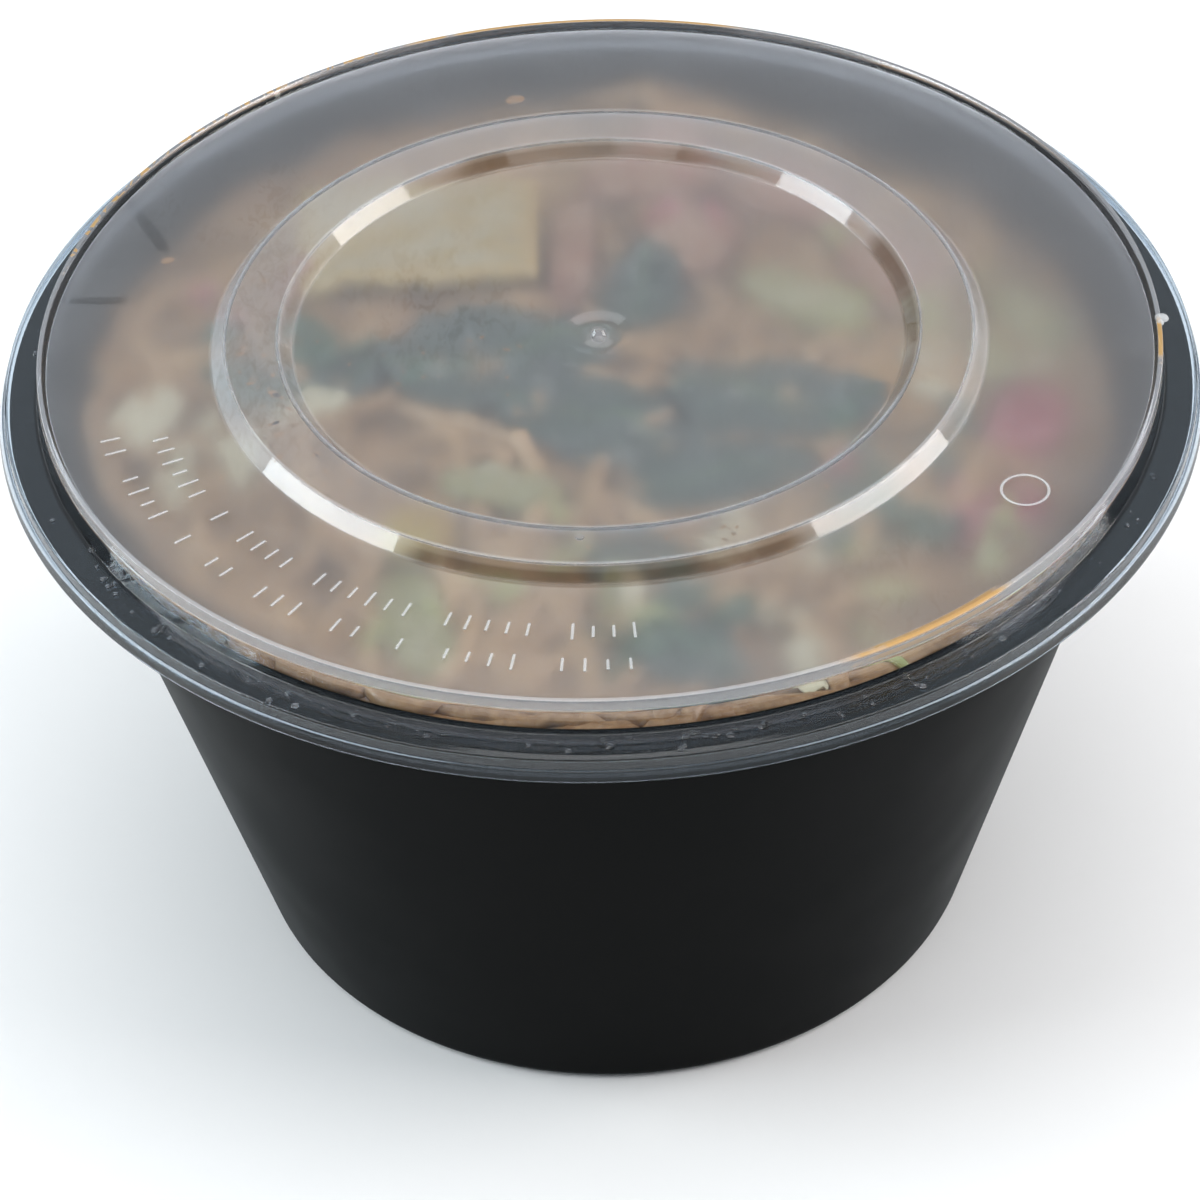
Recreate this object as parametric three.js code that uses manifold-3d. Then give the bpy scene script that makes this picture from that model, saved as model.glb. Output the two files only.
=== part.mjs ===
// Round takeaway bowl with a press-on lid, filled with fried noodles under egg, meat and greens.
// Units are millimetres, +Z is up, and the origin is the centre of the foot ring on the table.
// The front of the bowl faces -Y, and its right side is +X.

import * as THREE from 'three';
import { mergeVertices } from 'three/addons/utils/BufferGeometryUtils.js';
import Module from 'manifold-3d';

const wasm = await Module();
wasm.setup();

// ---------------------------------------------------------------- driving dimensions

const ROUND_STEPS = 44; // flats around the bowl and the lid
const GAP = 0.35; // clearance left between pieces that lie against each other

// Bowl
const FOOT_R = 51; // outer radius at the table
const FOOT_CORNER = 2.5; // rounding between the foot and the wall
const FOOT_RING = 4; // width of the ring that the bowl stands on
const FOOT_RECESS = 1; // how far the middle of the base is lifted
const WALL_SPREAD = 0.2614; // growth of the radius for each millimetre of height
const BOWL_WALL = 1; // thickness of wall and base
const RIM_Z = 84.3; // top of the rim
const RIM_R = 77.3; // outer radius of the rim
const RIM_LIP = 1.7; // depth of the turned-down edge of the rim
const RIM_LIP_WIDTH = 0.9;

// Lid
const LID_WALL = 0.8; // thickness of the lid
const PANEL_Z = 89.2; // top of the flat panel
const RIDGE_RISE = 1.9; // height of the stacking ridge over the panel
const RIDGE_IN_FOOT = 40.6; // radii of the stacking ridge, from the inside out
const RIDGE_IN_TOP = 42.3;
const RIDGE_OUT_TOP = 49.6;
const RIDGE_OUT_FOOT = 51.3;
const EDGE_RISE = 1.1; // height of the bright bead round the panel
const EDGE_R = 74.1; // outer radius of that bead
const EDGE_WIDTH = 1.5;
const LEDGE_Z = 85.4; // top of the ledge that covers the rim of the bowl
const LEDGE_IN_R = 74.7;
const BEAD_R = 78.7; // outer corner of the ledge
const SKIRT_STEP_Z = 83.7; // small step halfway down the skirt
const SKIRT_STEP_R = 79.3;
const SKIRT_STEP = 0.4; // how far the step stands out
const SKIRT_R = 79.9; // lower edge of the skirt
const SKIRT_Z = 82.4;
const GATE_R = 0.8; // moulding point in the middle of the panel
const GATE_RISE = 0.9;
const DIMPLE_R = 4.8; // shallow dish around the moulding point
const DIMPLE_DEPTH = 0.4;

// Food
const FILL_Z = 77; // mean height of the food at the wall
const CROWN_RISE = 5.2; // how much the middle of the heap stands above that
const FOOD_REACH = 69; // radius over which the heap falls away
const NOODLE_WIDTH = 2.7;
const NOODLE_SIDES = 5;
const NOODLE_STEP = 4.6; // spacing of the points along a noodle
const NOODLE_SEED = 4;

// ---------------------------------------------------------------- helpers

/** Seeded random numbers from 0 to 1, the same in every run. */
function seededRandom(seed) {
  let state = seed;
  return () => {
    state = (state * 1664525 + 1013904223) % 4294967296;
    return state / 4294967296;
  };
}

/** Polyline through the given [r, z, rounding] corners, with each rounding drawn as an arc. */
function roundedOutline(corners) {
  const outline = [];
  corners.forEach(([x, y, radius = 0], i) => {
    const corner = new THREE.Vector2(x, y);
    if (!radius || i === 0 || i === corners.length - 1) {
      outline.push(corner);
      return;
    }
    const back = new THREE.Vector2(...corners[i - 1].slice(0, 2)).sub(corner).normalize();
    const ahead = new THREE.Vector2(...corners[i + 1].slice(0, 2)).sub(corner).normalize();
    const half = Math.acos(THREE.MathUtils.clamp(back.dot(ahead), -1, 1)) / 2;
    const reach = radius / Math.tan(half);
    const start = corner.clone().addScaledVector(back, reach);
    const end = corner.clone().addScaledVector(ahead, reach);
    const arc = new THREE.QuadraticBezierCurve(start, corner, end);
    outline.push(...arc.getPoints(radius > 1 ? 3 : 1));
  });
  return outline;
}

/** Solid of revolution about Z from a closed [r, z] outline. */
function turned(outline, steps = ROUND_STEPS) {
  const geometry = new THREE.LatheGeometry([...outline, outline[0]], steps);
  return geometry.rotateX(Math.PI / 2);
}

/** Solid for joining and cutting, from a closed geometry whose faces may point either way. */
function solidOf(geometry) {
  const bare = new THREE.BufferGeometry();
  bare.setAttribute('position', geometry.getAttribute('position').clone());
  if (geometry.index) bare.setIndex(geometry.index.clone());
  const merged = mergeVertices(bare, 1e-4);
  const place = merged.getAttribute('position');
  const corners = [...Array(3)].map(() => new THREE.Vector3());
  const triangles = [];
  let volume = 0;
  for (let i = 0; i < merged.index.count; i += 3) {
    const ids = [0, 1, 2].map((k) => merged.index.getX(i + k));
    if (new Set(ids).size < 3) continue;
    ids.forEach((id, k) => corners[k].fromBufferAttribute(place, id));
    volume += corners[0].dot(corners[1].clone().cross(corners[2]));
    triangles.push(ids);
  }
  const outward = volume > 0 ? triangles : triangles.map(([a, b, c]) => [a, c, b]);
  return new wasm.Manifold(
    new wasm.Mesh({
      numProp: 3,
      vertProperties: new Float32Array(place.array),
      triVerts: new Uint32Array(outward.flat()),
    }),
  );
}

/** The largest closed piece of a solid, without the scraps that a cut leaves. */
function largestPiece(solid) {
  return solid.decompose().reduce((best, piece) => (piece.volume() > best.volume() ? piece : best));
}

/** Named mesh of one sub-part. */
function meshOf(name, solid, look) {
  const { vertProperties, triVerts } = solid.getMesh();
  const geometry = new THREE.BufferGeometry();
  geometry.setAttribute('position', new THREE.BufferAttribute(new Float32Array(vertProperties), 3));
  geometry.setIndex(new THREE.BufferAttribute(new Uint32Array(triVerts), 1));
  geometry.computeVertexNormals();
  const mesh = new THREE.Mesh(geometry, new THREE.MeshStandardMaterial({ metalness: 0, ...look }));
  mesh.name = name;
  return mesh;
}

// ---------------------------------------------------------------- bowl and lid

/** Outer radius of the bowl's wall at a height. */
const wallRadius = (z) => FOOT_R + WALL_SPREAD * z;

/** Inner radius of the bowl's wall at a height. */
const innerRadius = (z) => wallRadius(z) - BOWL_WALL * Math.hypot(1, WALL_SPREAD);

function bowlSolid() {
  const floorZ = FOOT_RECESS + BOWL_WALL;
  const flangeZ = RIM_Z - BOWL_WALL;
  const ringIn = FOOT_R - FOOT_CORNER - FOOT_RING;
  const outline = roundedOutline([
    [0, FOOT_RECESS],
    [ringIn - FOOT_RECESS, FOOT_RECESS],
    [ringIn, 0],
    [FOOT_R, 0, FOOT_CORNER],
    [wallRadius(flangeZ), flangeZ],
    [RIM_R - RIM_LIP_WIDTH, flangeZ],
    [RIM_R - RIM_LIP_WIDTH, RIM_Z - RIM_LIP],
    [RIM_R, RIM_Z - RIM_LIP],
    [RIM_R, RIM_Z, 0.6],
    [innerRadius(RIM_Z), RIM_Z, 0.5],
    [innerRadius(floorZ), floorZ, 2],
    [0, floorZ],
  ]);
  return solidOf(turned(outline));
}

function lidSolid() {
  const ridgeZ = PANEL_Z + RIDGE_RISE;
  const edgeZ = PANEL_Z + EDGE_RISE;
  const upper = [
    [0, PANEL_Z + GATE_RISE],
    [GATE_R, PANEL_Z + GATE_RISE],
    [GATE_R * 1.6, PANEL_Z - DIMPLE_DEPTH],
    [DIMPLE_R * 0.7, PANEL_Z - DIMPLE_DEPTH],
    [DIMPLE_R, PANEL_Z],
    [RIDGE_IN_FOOT, PANEL_Z],
    [RIDGE_IN_TOP, ridgeZ, 0.5],
    [RIDGE_OUT_TOP, ridgeZ, 0.5],
    [RIDGE_OUT_FOOT, PANEL_Z],
    [EDGE_R - EDGE_WIDTH, PANEL_Z],
    [EDGE_R - EDGE_WIDTH * 0.7, edgeZ],
    [EDGE_R, edgeZ, 0.4],
    [LEDGE_IN_R, LEDGE_Z],
    [BEAD_R, LEDGE_Z - 0.1, 0.4],
    [SKIRT_STEP_R - SKIRT_STEP, SKIRT_STEP_Z],
    [SKIRT_STEP_R, SKIRT_STEP_Z],
    [SKIRT_R, SKIRT_Z],
  ];
  const under = [
    [SKIRT_R - LID_WALL, SKIRT_Z],
    [SKIRT_STEP_R - SKIRT_STEP - LID_WALL, SKIRT_STEP_Z - LID_WALL / 2],
    [BEAD_R - LID_WALL, LEDGE_Z - LID_WALL],
    [LEDGE_IN_R - LID_WALL, LEDGE_Z - LID_WALL],
    [EDGE_R - LID_WALL, PANEL_Z - LID_WALL],
    [RIDGE_OUT_FOOT - LID_WALL / 2, PANEL_Z - LID_WALL],
    [RIDGE_OUT_TOP - LID_WALL / 2, ridgeZ - LID_WALL],
    [RIDGE_IN_TOP + LID_WALL / 2, ridgeZ - LID_WALL],
    [RIDGE_IN_FOOT + LID_WALL / 2, PANEL_Z - LID_WALL],
    [0, PANEL_Z - LID_WALL],
  ];
  return solidOf(turned([...roundedOutline(upper), ...roundedOutline(under)]));
}

// ---------------------------------------------------------------- food

/** Height of the bare heap under the noodles and toppings. */
function heapHeight(x, y) {
  const reach = Math.hypot(x, y) / FOOD_REACH;
  const lean = (-2.2 * x - 1.8 * y) / FOOD_REACH;
  const bumps = 0.8 * Math.sin(x / 6.1 + 0.8) * Math.cos(y / 5.3) + 0.4 * Math.sin(y / 3.4 - x / 7.7);
  return FILL_Z + lean + CROWN_RISE * (1 - reach * reach) + bumps;
}

/** The heap without its loose noodles: the bowl's filling up to an uneven top. */
function heapCore() {
  const bottomZ = FOOT_RECESS + BOWL_WALL + GAP;
  const clear = (z) => innerRadius(z) - GAP;
  const rings = [66.5, 58, 48, 37, 25, 12];
  const outline = [
    [0, bottomZ],
    [clear(bottomZ) - 2, bottomZ],
    [clear(bottomZ + 2), bottomZ + 2],
    [clear(FILL_Z - 4), FILL_Z - 4],
    ...rings.map((r) => [r, FILL_Z]),
  ].map(([r, z]) => new THREE.Vector2(r, z));
  const geometry = turned([...outline, new THREE.Vector2(0, FILL_Z)], 36);
  const place = geometry.getAttribute('position');
  for (let i = 0; i < place.count; i++) {
    if (place.getZ(i) > FILL_Z - 1) place.setZ(i, heapHeight(place.getX(i), place.getY(i)));
  }
  return solidOf(geometry);
}

/** One noodle: a wandering tube that lies on the heap and turns back from the wall. */
function noodle(random, startR, startAngle, count) {
  let x = startR * Math.cos(startAngle);
  let y = startR * Math.sin(startAngle);
  let heading = startAngle + Math.PI / 2 + (random() - 0.5) * 1.4;
  let bend = (random() - 0.5) * 0.5;
  const raise = NOODLE_WIDTH * (0.2 + 0.7 * random());
  const points = [];
  for (let i = 0; i < count; i++) {
    const dip = i === 0 || i === count - 1 ? -NOODLE_WIDTH : 0;
    points.push(new THREE.Vector3(x, y, heapHeight(x, y) + raise + dip));
    bend = THREE.MathUtils.clamp(bend + (random() - 0.5) * 0.5, -0.6, 0.6);
    const nextX = x + NOODLE_STEP * Math.cos(heading + bend);
    const nextY = y + NOODLE_STEP * Math.sin(heading + bend);
    const inward = Math.atan2(-y, -x);
    const turnBack = Math.hypot(nextX, nextY) > FOOD_REACH - 5 ? 0.5 * Math.sin(inward - heading) : 0;
    heading += bend + turnBack;
    x += NOODLE_STEP * Math.cos(heading);
    y += NOODLE_STEP * Math.sin(heading);
    const far = Math.hypot(x, y) / (FOOD_REACH - 3.5);
    if (far > 1) {
      x /= far;
      y /= far;
    }
  }
  const section = new THREE.Shape();
  for (let k = 0; k < NOODLE_SIDES; k++) {
    const turn = (2 * Math.PI * k) / NOODLE_SIDES;
    const corner = [Math.cos(turn), Math.sin(turn)].map((c) => (c * NOODLE_WIDTH) / 2);
    if (k) section.lineTo(...corner);
    else section.moveTo(...corner);
  }
  const path = new THREE.CatmullRomCurve3(points);
  return solidOf(new THREE.ExtrudeGeometry(section, { steps: Math.round(count * 1.5), extrudePath: path }));
}

/** Noodles spread evenly over the heap, in rings from the wall inwards. */
function noodles() {
  const random = seededRandom(NOODLE_SEED);
  const rings = [
    { r: 62, count: 9 },
    { r: 47, count: 7 },
    { r: 30, count: 3 },
  ];
  return rings.flatMap(({ r, count }) =>
    [...Array(count).keys()].map((i) => {
      const angle = (2 * Math.PI * (i + 0.4 * random())) / count;
      return noodle(random, r, angle, 7 + Math.floor(2 * random()));
    }),
  );
}

/**
 * A flat piece draped over the heap. The outline gives its half width, from 0 to 1, along its length,
 * lift is how far its middle lies above the bare heap, and wave is the height of its folds.
 */
function draped({ at, turn, length, width, thick, lift, wave = 0, outline, split = [8, 4] }, grow) {
  const [long, wide] = [length + 2 * grow, width + 2 * grow];
  const sheet = new THREE.BoxGeometry(long, wide, thick + 2 * grow, split[0], split[1], 1);
  const place = sheet.getAttribute('position');
  const angle = THREE.MathUtils.degToRad(turn);
  for (let i = 0; i < place.count; i++) {
    const along = place.getX(i) / long;
    const across = (place.getY(i) / wide) * outline(along + 0.5);
    const curl = wave * (Math.sin(9 * along + at[0]) * Math.cos(5 * across) + 1.2 * across * across);
    const [u, v] = [along * long, across * wide];
    const x = at[0] + u * Math.cos(angle) - v * Math.sin(angle);
    const y = at[1] + u * Math.sin(angle) + v * Math.cos(angle);
    place.setXYZ(i, x, y, heapHeight(x, y) + lift + curl + place.getZ(i));
  }
  return solidOf(sheet);
}

/** Half width of a leaf along its length: narrow at the stalk, full in the middle, blunt at the tip. */
const leafOutline = (t) => 0.16 + 0.84 * Math.pow(Math.sin(Math.PI * THREE.MathUtils.clamp(t, 0, 1) ** 0.8), 0.8);

/** Half width of a cut slice along its length: nearly straight sides and rounded ends. */
const sliceOutline = (t) => Math.sqrt(Math.max(1 - Math.abs(2 * t - 1) ** 3, 0)) * 0.72 + 0.28;

/** Half width of a block with straight cut sides. */
const blockOutline = (t) => 1 - 0.08 * Math.abs(2 * t - 1) ** 4;

/** A lump with softened corners, sunk a little into the heap. */
function lump({ at, turn, size, lift }, grow) {
  const ball = new THREE.SphereGeometry(1, 12, 8);
  const place = ball.getAttribute('position');
  const angle = THREE.MathUtils.degToRad(turn);
  const baseZ = heapHeight(...at) + lift;
  const soften = (c) => Math.sign(c) * Math.abs(c) ** 0.7;
  for (let i = 0; i < place.count; i++) {
    const [u, v, w] = [place.getX(i), place.getY(i), place.getZ(i)].map(soften);
    const [a, b, c] = [u, v, w].map((d, k) => d * (size[k] / 2 + grow));
    const x = at[0] + a * Math.cos(angle) - b * Math.sin(angle);
    const y = at[1] + a * Math.sin(angle) + b * Math.cos(angle);
    place.setXYZ(i, x, y, baseZ + c);
  }
  return solidOf(ball);
}

// Colours of the food, and how rough each kind is.
const NOODLE_LOOK = { color: 0xb98a5a, roughness: 0.55 };
const EGG_LOOK = { color: 0xe3d3a6, roughness: 0.6 };
const MEAT_LOOK = { color: 0xc48a6e, roughness: 0.55 };
const LEAF_LOOK = { color: 0x2f4438, roughness: 0.5 };
const CABBAGE_LOOK = { color: 0xb4b45c, roughness: 0.5 };
const TOFU_LOOK = { color: 0xd9bd8c, roughness: 0.6 };
const HAM_LOOK = { color: 0xb0505a, roughness: 0.5 };

/** A leaf with its folds. */
const leaf = (at, turn, length, width, lift) => ({
  build: draped, look: LEAF_LOOK, outline: leafOutline, thick: 0.7, wave: 0.9, at, turn, length, width, lift,
});

/** A thin slice of meat. */
const slice = (at, turn, length, width, lift) => ({
  build: draped, look: MEAT_LOOK, outline: sliceOutline, thick: 2.2, wave: 0.6, split: [7, 4],
  at, turn, length, width, lift,
});

/** A strip of pale cabbage. */
const cabbage = (at, turn, length, width, lift) => ({
  build: draped, look: CABBAGE_LOOK, outline: sliceOutline, thick: 1.2, wave: 0.5, split: [6, 3],
  at, turn, length, width, lift,
});

/** Every topping by name, from the lowest in the pile to the highest. */
const TOPPINGS = {
  egg_block: {
    build: draped, look: EGG_LOOK, outline: blockOutline, thick: 5, split: [6, 4],
    at: [-24.5, 28.5], turn: 0, length: 33, width: 27, lift: 2.6,
  },
  tofu_piece: { build: lump, look: TOFU_LOOK, at: [39.5, -7.5], turn: 20, size: [15, 14, 7], lift: 2.2 },
  ham_piece_1: { build: lump, look: HAM_LOOK, at: [56, -11.5], turn: 70, size: [15, 11, 7], lift: 2 },
  ham_piece_2: { build: lump, look: HAM_LOOK, at: [51, -31], turn: 40, size: [14, 9, 6], lift: 1.8 },
  corn_piece: { build: lump, look: CABBAGE_LOOK, at: [-23.5, -34.5], turn: 10, size: [9, 8, 6], lift: 2 },
  meat_slice_1: slice([-3.4, 27], 86, 27, 6.5, 2.6),
  meat_slice_2: slice([8.5, 46], 25, 21, 14, 1.8),
  meat_slice_3: slice([13, 28], 70, 19, 13, 2.4),
  meat_slice_4: slice([27.5, 40], -35, 20, 12, 1.6),
  meat_slice_5: slice([41, 20], -60, 20, 12, 1.8),
  cabbage_strip_1: cabbage([28, 14.5], -35, 19, 9, 2.6),
  cabbage_strip_2: cabbage([-13, -26.5], -12, 16, 7, 3),
  cabbage_strip_3: cabbage([59, 13], -55, 15, 8, 1.9),
  cabbage_strip_4: cabbage([53, 1.5], -80, 13, 6, 2),
  cabbage_strip_5: cabbage([-24, -50], -78, 21, 8, 2),
  leaf_1: leaf([-31.5, -1.5], 35, 17, 9, 3),
  leaf_2: leaf([-13, 2], 15, 33, 22, 3.4),
  leaf_3: leaf([6, 17.5], 80, 19, 12, 4.4),
  leaf_4: leaf([1.5, -14], -20, 32, 17, 3.7),
  leaf_5: leaf([22.5, -8.5], -12, 30, 17, 4.6),
  leaf_6: leaf([15, -24], 12, 27, 12, 3.4),
  leaf_7: leaf([3.5, -40.5], 5, 13, 9, 2.6),
  leaf_8: leaf([10.5, -58], -30, 17, 12, 2.8),
};

/** The toppings as solids, each cut clear of the ones under it, and all of them grown by the gap. */
function toppingSolids() {
  const laid = [];
  let taken = null;
  for (const [name, topping] of Object.entries(TOPPINGS)) {
    const whole = topping.build(topping, 0);
    const solid = taken ? largestPiece(whole.subtract(taken)) : whole;
    laid.push({ name, solid, look: topping.look });
    const grown = topping.build(topping, GAP);
    taken = taken ? taken.add(grown) : grown;
  }
  return { laid, taken };
}

/** The heap: core and noodles in one solid, cut back where the toppings lie. */
function heapSolid(taken) {
  const joined = noodles().reduce((heap, strand) => heap.add(strand), heapCore());
  return largestPiece(joined.subtract(taken));
}

// ---------------------------------------------------------------- the meal

const meal = new THREE.Group();
const { laid, taken } = toppingSolids();
meal.add(meshOf('bowl', bowlSolid(), { color: 0x151718, roughness: 0.45 }));
meal.add(meshOf('lid', lidSolid(), { color: 0xb9c0c4, roughness: 0.3, transparent: true, opacity: 0.45 }));
meal.add(meshOf('noodle_heap', heapSolid(taken), NOODLE_LOOK));
for (const { name, solid, look } of laid) meal.add(meshOf(name, solid, look));

export default meal;
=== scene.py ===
"""Looks of a round takeaway bowl with a press-on lid, filled with noodles, egg, meat and greens."""

import math

import bmesh
import bpy
import numpy as np
from mathutils import Matrix, Vector


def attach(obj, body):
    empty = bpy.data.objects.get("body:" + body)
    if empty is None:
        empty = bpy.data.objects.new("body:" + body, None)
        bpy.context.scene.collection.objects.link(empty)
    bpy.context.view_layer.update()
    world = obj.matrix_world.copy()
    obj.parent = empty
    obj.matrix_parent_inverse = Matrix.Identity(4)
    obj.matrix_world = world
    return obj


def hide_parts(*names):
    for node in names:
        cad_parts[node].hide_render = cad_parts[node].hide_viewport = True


bl_info = {
    "name": "Lidded Noodle Bowl",
    "version": (1, 0, 0),
    "blender": (4, 5, 0),
    "location": "3D View > Sidebar > Bowl",
    "description": "Builds the looks of a lidded takeaway bowl of noodles around its packed frame",
    "category": "Add Mesh",
}

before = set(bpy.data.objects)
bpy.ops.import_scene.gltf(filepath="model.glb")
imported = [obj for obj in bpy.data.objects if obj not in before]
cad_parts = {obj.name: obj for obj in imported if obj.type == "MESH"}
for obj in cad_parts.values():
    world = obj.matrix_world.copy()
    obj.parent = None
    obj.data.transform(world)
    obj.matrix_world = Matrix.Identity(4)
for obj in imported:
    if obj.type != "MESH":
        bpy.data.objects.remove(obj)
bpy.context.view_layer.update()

MM = 0.001  # every size below is in millimetres
BODY = "root"
PHOTO_SIDE = 1200  # pixels along each side of the picture
SENSOR = 36  # width of the camera's sensor

# ---------- sizes of the bowl and the lid

FOOT_R = 51.0
FOOT_RECESS = 1.0
WALL_SPREAD = 0.2614  # growth of the radius for each millimetre of height
BOWL_WALL = 1.0
RIM_Z = 84.3
RIM_R = 78.3
RIM_LIP = 1.7
LID_WALL = 0.8
PANEL_Z = 89.2
RIDGE_Z = 91.1
EDGE_Z = 90.3
EDGE_R = 74.1
LEDGE_Z = 85.4
SKIRT_Z = 82.4
SKIRT_R = 79.9
RIDGE_IN_FOOT = 40.6
RIDGE_IN_TOP = 42.3
RIDGE_OUT_TOP = 49.6
RIDGE_OUT_FOOT = 51.3

# ---------- sizes of the food

FILL_Z = 77.0  # mean height of the food at the wall
CROWN_RISE = 5.2
FOOD_REACH = 69.0
SETTLE = 1.6  # how far the core lies below the mean top of the noodles
GOLDEN_ANGLE = 2.399963  # turn in radians that spreads the noodles evenly
CELL = 0.6  # grid of the height map that the pieces are laid on
TUFTS = [(9, 60, 9, 7.5), (31, 49, 4.5, 7.5), (-60, -6, 7, 2.5)]  # humps: place, reach and rise


def heap_height(x, y):
    """Mean height of the noodles."""
    reach = np.hypot(x, y) / FOOD_REACH
    lean = (-2.2 * x - 1.8 * y) / FOOD_REACH
    bumps = 0.8 * np.sin(x / 6.1 + 0.8) * np.cos(y / 5.3) + 0.4 * np.sin(y / 3.4 - x / 7.7)
    height = FILL_Z + lean + CROWN_RISE * (1 - reach * reach) + bumps
    for at_x, at_y, size, rise in TUFTS:
        height = height + rise * np.exp(-((x - at_x) ** 2 + (y - at_y) ** 2) / size**2)
    return height


def inner_radius(z, wall=BOWL_WALL):
    """Inner radius of the bowl's wall at a height."""
    return FOOT_R + WALL_SPREAD * z - wall * math.hypot(1, WALL_SPREAD)


def screen(red, green, blue):
    """Linear colour from the screen's values, 0 to 255."""
    return tuple(
        c / 255 / 12.92 if c <= 10 else ((c / 255 + 0.055) / 1.055) ** 2.4 for c in (red, green, blue)
    )


# ---------- meshes


def grid_faces(rows, columns, close_rows=False, close_columns=False):
    """Quads between the points of a grid, as an array of corner numbers."""
    r = np.arange(rows if close_rows else rows - 1)
    c = np.arange(columns if close_columns else columns - 1)
    r, c = (a.ravel() for a in np.meshgrid(r, c, indexing="ij"))
    r2, c2 = (r + 1) % rows, (c + 1) % columns
    row, row2 = r * columns, r2 * columns
    return np.stack([row + c, row + c2, row2 + c2, row2 + c], 1)


class Shape:
    """Points, faces and named values of one piece, gathered in millimetres."""

    def __init__(self):
        self.points, self.faces, self.values = [], [], {}
        self.count = 0

    def add(self, points, faces, **values):
        """Adds points and faces, with values for each point."""
        points = np.asarray(points, float).reshape(-1, 3)
        self.faces += [tuple(int(i) + self.count for i in face) for face in faces]
        for name, value in values.items():
            filled = np.broadcast_to(np.asarray(value, float).ravel(), (len(points),))
            self.values.setdefault(name, [np.zeros(self.count)]).append(filled)
        self.points.append(points)
        self.count += len(points)

    def piece(self, name, finish, slot, nodes=(), sharp=40):
        """Makes the object, joined to the frame's body and standing for the given CAD nodes."""
        mesh = bpy.data.meshes.new(name)
        mesh.from_pydata((np.concatenate(self.points) * MM).tolist(), [], self.faces)
        for key, parts in self.values.items():
            layer = mesh.attributes.new(key, "FLOAT", "POINT")
            layer.data.foreach_set("value", np.concatenate(parts).astype(np.float32))
        work = bmesh.new()
        work.from_mesh(mesh)
        bmesh.ops.remove_doubles(work, verts=work.verts, dist=1e-6)
        bmesh.ops.recalc_face_normals(work, faces=work.faces)
        work.to_mesh(mesh)
        work.free()
        mesh.shade_smooth()
        mesh.set_sharp_from_angle(angle=math.radians(sharp))
        mesh.materials.append(finish)
        thing = bpy.data.objects.new(name, mesh)
        bpy.context.scene.collection.objects.link(thing)
        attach(thing, BODY)
        if nodes:
            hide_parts(*nodes)
        return thing


def rounded(corners, steps=6):
    """Polyline through [r, z, rounding] corners, with each rounding drawn as an arc."""
    outline = []
    for i, (r, z, *rest) in enumerate(corners):
        corner, radius = Vector((r, z)), rest[0] if rest else 0
        if not radius or i in (0, len(corners) - 1):
            outline.append(corner)
            continue
        back = (Vector(corners[i - 1][:2]) - corner).normalized()
        ahead = (Vector(corners[i + 1][:2]) - corner).normalized()
        reach = radius / math.tan(back.angle(ahead) / 2)
        start, end = corner + back * reach, corner + ahead * reach
        for k in range(steps + 1):
            t = k / steps
            outline.append(start * (1 - t) ** 2 + corner * 2 * t * (1 - t) + end * t * t)
    return outline


def turned(shape, outline, steps, **values):
    """Adds the closed solid of revolution of an outline about Z; values belong to the outline's points."""
    turn = np.linspace(0, 2 * np.pi, steps, endpoint=False)
    r = np.array([p[0] for p in outline])[:, None]
    z = np.array([p[1] for p in outline])[:, None]
    points = np.stack([r * np.cos(turn), r * np.sin(turn), z + 0 * turn], 2)
    values = {name: np.repeat(value, steps) for name, value in values.items()}
    shape.add(points, grid_faces(len(outline), steps, True, True), **values)


def tube(shape, path, radius, sides=8, flat=1.0, **values):
    """Adds a closed tube along a path; radius may change along it, and flat squeezes it in height."""
    path = np.asarray(path, float)
    count = len(path)
    ahead = np.gradient(path, axis=0)
    ahead /= np.linalg.norm(ahead, axis=1, keepdims=True) + 1e-9
    side = np.cross(ahead, (0, 0, 1.0))
    side /= np.linalg.norm(side, axis=1, keepdims=True) + 1e-9
    up = np.cross(side, ahead)
    turn = np.linspace(0, 2 * np.pi, sides, endpoint=False)
    radius = np.broadcast_to(radius, (count,))[:, None, None]
    ring = side[:, None] * np.cos(turn)[:, None] + up[:, None] * (np.sin(turn) * flat)[:, None]
    points = path[:, None] + ring * radius
    first, last = count * sides, count * sides + 1
    faces = [tuple(f) for f in grid_faces(count, sides, False, True)]
    faces += [(first, (k + 1) % sides, k) for k in range(sides)]
    base = (count - 1) * sides
    faces += [(last, base + k, base + (k + 1) % sides) for k in range(sides)]
    shape.add(np.concatenate([points.reshape(-1, 3), path[:1], path[-1:]]), faces, **values)


def tube_values(along, sides=8):
    """Values along a tube's path, repeated for each of its points."""
    return np.concatenate([np.repeat(along, sides), along[:1], along[-1:]])


class Pile:
    """Height of what lies in the bowl so far."""

    def __init__(self):
        self.reach = FOOD_REACH + 3
        self.cells = int(2 * self.reach / CELL) + 1
        self.empty()

    def empty(self):
        """Takes off all that lies on the core of the noodles."""
        place = np.linspace(-self.reach, self.reach, self.cells)
        self.top = heap_height(*np.meshgrid(place, place)) - SETTLE

    def cell(self, value):
        """Position in the grid, in cells, of a place in millimetres."""
        share = (value + self.reach) / (2 * self.reach)
        return np.clip(share * (self.cells - 1), 0, self.cells - 1.001)

    def height(self, x, y):
        """Height of the top at some places."""
        c, r = self.cell(np.asarray(x, float)), self.cell(np.asarray(y, float))
        i, j = c.astype(int), r.astype(int)
        a, b = c - i, r - j
        low = self.top[j, i] * (1 - a) + self.top[j, i + 1] * a
        high = self.top[j + 1, i] * (1 - a) + self.top[j + 1, i + 1] * a
        return low * (1 - b) + high * b

    def stamp(self, x, y, z):
        """Raises the top to the given points where they are higher."""
        i = np.rint(self.cell(x)).astype(int).ravel()
        j = np.rint(self.cell(y)).astype(int).ravel()
        np.maximum.at(self.top, (j, i), np.asarray(z, float).ravel())


pile = Pile()


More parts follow.
